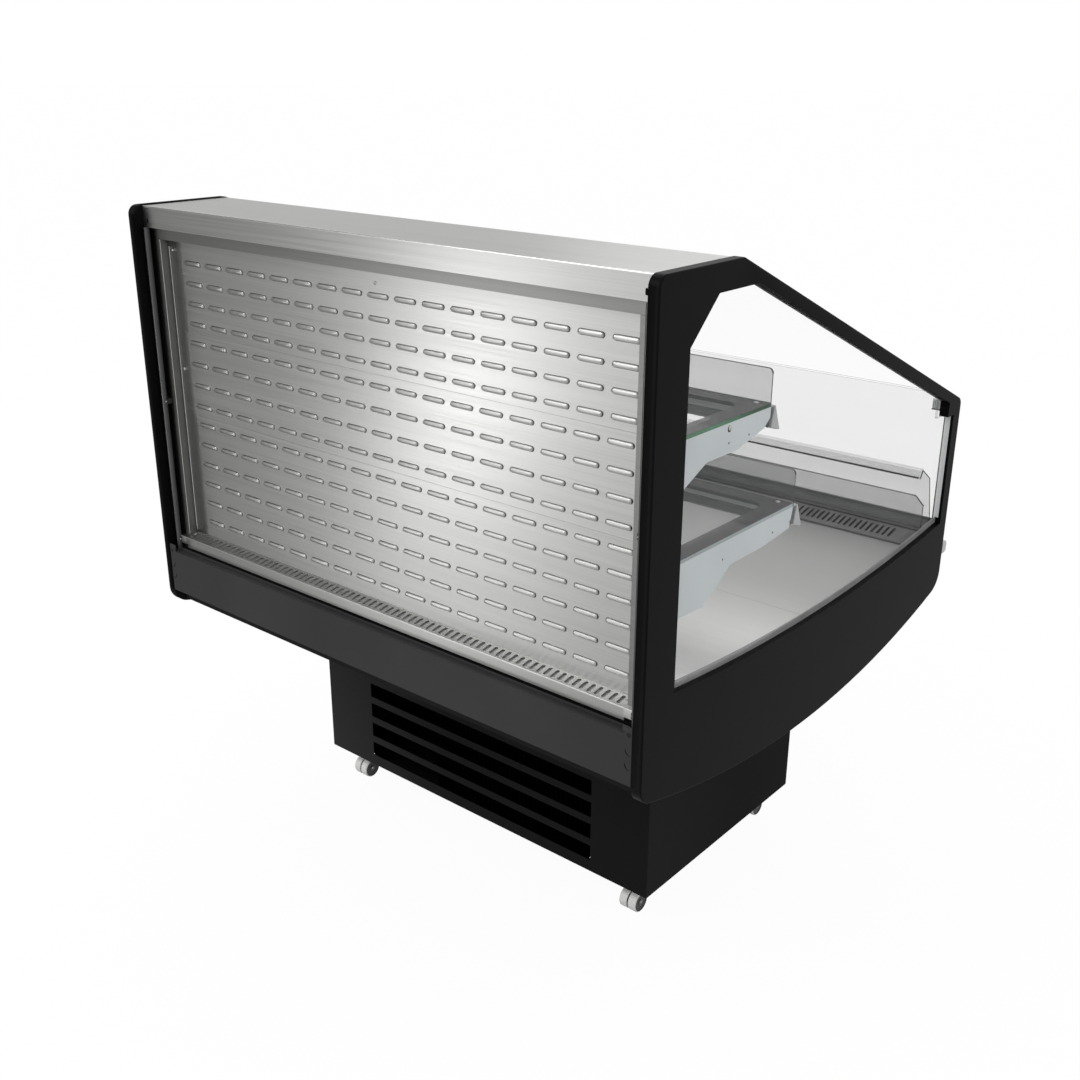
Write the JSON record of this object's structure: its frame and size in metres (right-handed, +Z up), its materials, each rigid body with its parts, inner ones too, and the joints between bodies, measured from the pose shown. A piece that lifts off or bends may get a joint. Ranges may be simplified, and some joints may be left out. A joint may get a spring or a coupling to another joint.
{
  "type": "island display chiller",
  "caption": "Open island food display chiller: black end frames with glass windows, louvred steel back wall, glass shelves, low front glass and a vented base on castors.",
  "frame": {"origin": "on the floor under the middle of the overall box", "axes": "+Z up, +X along the length to the right as seen from the louvred back, -Y out of the louvred back"},
  "size_m": [1.2, 1.1, 1.276],
  "materials": {
    "black_panel": "satin black powder coat",
    "black_plastic": "moulded satin black",
    "stainless": "brushed along the length",
    "dark_steel": "dark grey satin coat",
    "white_steel": "smooth pale grey coat",
    "bracket_steel": "pale blue-grey coat",
    "pane_glass": "clear tempered glass",
    "shelf_glass": "tempered glass with a grey printed border",
    "clear_acrylic": "clear polished acrylic",
    "clear_rail": "grey extruded strip",
    "light_tube": "frosted diffuser",
    "clip_plastic": "moulded dark grey",
    "bright_steel": "bright screw heads",
    "bumper_plastic": "extruded pale grey",
    "foam_body": "foam between thin dark skins",
    "base_steel": "black powder coat",
    "castor_plastic": "dark grey nylon",
    "castor_tread": "white polyurethane tread, grey hub",
    "dark_fins": "black coated fins",
    "fin_metal": "thin bright fins",
    "galvanised": "galvanised sheet",
    "copper": "drawn copper tube",
    "fan_plastic": "black nylon blades",
    "compressor_paint": "black enamel",
    "rocker_plastic": "gloss black rocker"
  },
  "bodies": {
    "cabinet": {"air_guard": "clear_acrylic", "air_outlet": "clip_plastic", "base_frame": "base_steel", "base_front_panel": "base_steel", "base_grille_panel": "base_steel", "base_side_panels": "base_steel", "bumper_end_caps": "bumper_plastic", "bumper_rail": "bumper_plastic", "cable_gland": "clip_plastic", "canopy": "stainless", "compressor": "compressor_paint", "condensate_tray": "galvanised", "condenser_coil": "dark_fins", "condenser_fan_shroud": "galvanised", "control_unit": "clip_plastic", "deck_pan_back": "white_steel", "deck_pan_front": "white_steel", "duct_panel": "white_steel", "end_frame_left": "black_plastic", "end_frame_right": "black_plastic", "end_glass_panes": "pane_glass", "end_posts": "stainless", "evaporator_coil": "fin_metal", "evaporator_fan_plate": "galvanised", "front_glass": "pane_glass", "front_ledge": "dark_steel", "glass_clamps": "bright_steel", "header_strip": "stainless", "insulated_tub": "foam_body", "light_tube_clips": "clip_plastic", "light_tubes": "light_tube", "louvre_panel_bottom": "stainless", "louvre_panel_middle": "stainless", "louvre_panel_top": "stainless", "low_fence": "clear_acrylic", "lower_panel_back": "black_panel", "lower_panel_front": "black_panel", "pipework": "copper", "price_rails": "clear_rail", "return_grille_back": "stainless", "return_grille_front": "dark_steel", "screws": "bright_steel", "shelf_brackets_lower": "bracket_steel", "shelf_brackets_upper": "bracket_steel", "shelf_fences": "clear_acrylic", "shelf_glass_lower": "shelf_glass", "shelf_glass_upper": "shelf_glass", "shelf_lights": "light_tube", "slotted_uprights": "white_steel"},
    "castor_fork_back_left": {"castor_fork_back_left": "castor_plastic"},
    "castor_wheel_back_left": {"castor_wheel_back_left": "castor_tread"},
    "castor_fork_back_right": {"castor_fork_back_right": "castor_plastic"},
    "castor_wheel_back_right": {"castor_wheel_back_right": "castor_tread"},
    "castor_fork_front_left": {"castor_fork_front_left": "castor_plastic"},
    "castor_wheel_front_left": {"castor_wheel_front_left": "castor_tread"},
    "castor_fork_front_right": {"castor_fork_front_right": "castor_plastic"},
    "castor_wheel_front_right": {"castor_wheel_front_right": "castor_tread"},
    "condenser_fan": {"condenser_fan_rotor": "fan_plastic"},
    "evaporator_fan": {"evaporator_fan_rotor": "fan_plastic"},
    "power_rocker": {"power_rocker": "rocker_plastic"}
  },
  "joints": [
    {"name": "swivel_back_left", "type": "hinge", "parent": "cabinet", "child": "castor_fork_back_left", "pos_m": [-0.375, -0.22, 0.06], "axis": [0, 0, 1], "continuous": true},
    {"name": "roll_back_left", "type": "hinge", "parent": "castor_fork_back_left", "child": "castor_wheel_back_left", "pos_m": [-0.375, -0.234, 0.0208], "axis": [1, 0, 0], "continuous": true},
    {"name": "swivel_back_right", "type": "hinge", "parent": "cabinet", "child": "castor_fork_back_right", "pos_m": [0.375, -0.22, 0.06], "axis": [0, 0, 1], "continuous": true},
    {"name": "roll_back_right", "type": "hinge", "parent": "castor_fork_back_right", "child": "castor_wheel_back_right", "pos_m": [0.375, -0.234, 0.0208], "axis": [1, 0, 0], "continuous": true},
    {"name": "swivel_front_left", "type": "hinge", "parent": "cabinet", "child": "castor_fork_front_left", "pos_m": [-0.375, 0.212, 0.06], "axis": [0, 0, 1], "continuous": true},
    {"name": "roll_front_left", "type": "hinge", "parent": "castor_fork_front_left", "child": "castor_wheel_front_left", "pos_m": [-0.375, 0.198, 0.0208], "axis": [1, 0, 0], "continuous": true},
    {"name": "swivel_front_right", "type": "hinge", "parent": "cabinet", "child": "castor_fork_front_right", "pos_m": [0.375, 0.212, 0.06], "axis": [0, 0, 1], "continuous": true},
    {"name": "roll_front_right", "type": "hinge", "parent": "castor_fork_front_right", "child": "castor_wheel_front_right", "pos_m": [0.375, 0.198, 0.0208], "axis": [1, 0, 0], "continuous": true},
    {"name": "condenser_fan_spin", "type": "hinge", "parent": "cabinet", "child": "condenser_fan", "pos_m": [0.08, -0.193, 0.19], "axis": [0, 1, 0], "continuous": true},
    {"name": "evaporator_fan_spin", "type": "hinge", "parent": "cabinet", "child": "evaporator_fan", "pos_m": [0, 0.107, 0.5454], "axis": [0, 1, 0], "continuous": true},
    {"name": "power_rocker_tilt", "type": "hinge", "parent": "cabinet", "child": "power_rocker", "pos_m": [0.377, 0.2422, 0.35], "axis": [-1, 0, 0], "range_deg": [0, 18]}
  ]
}
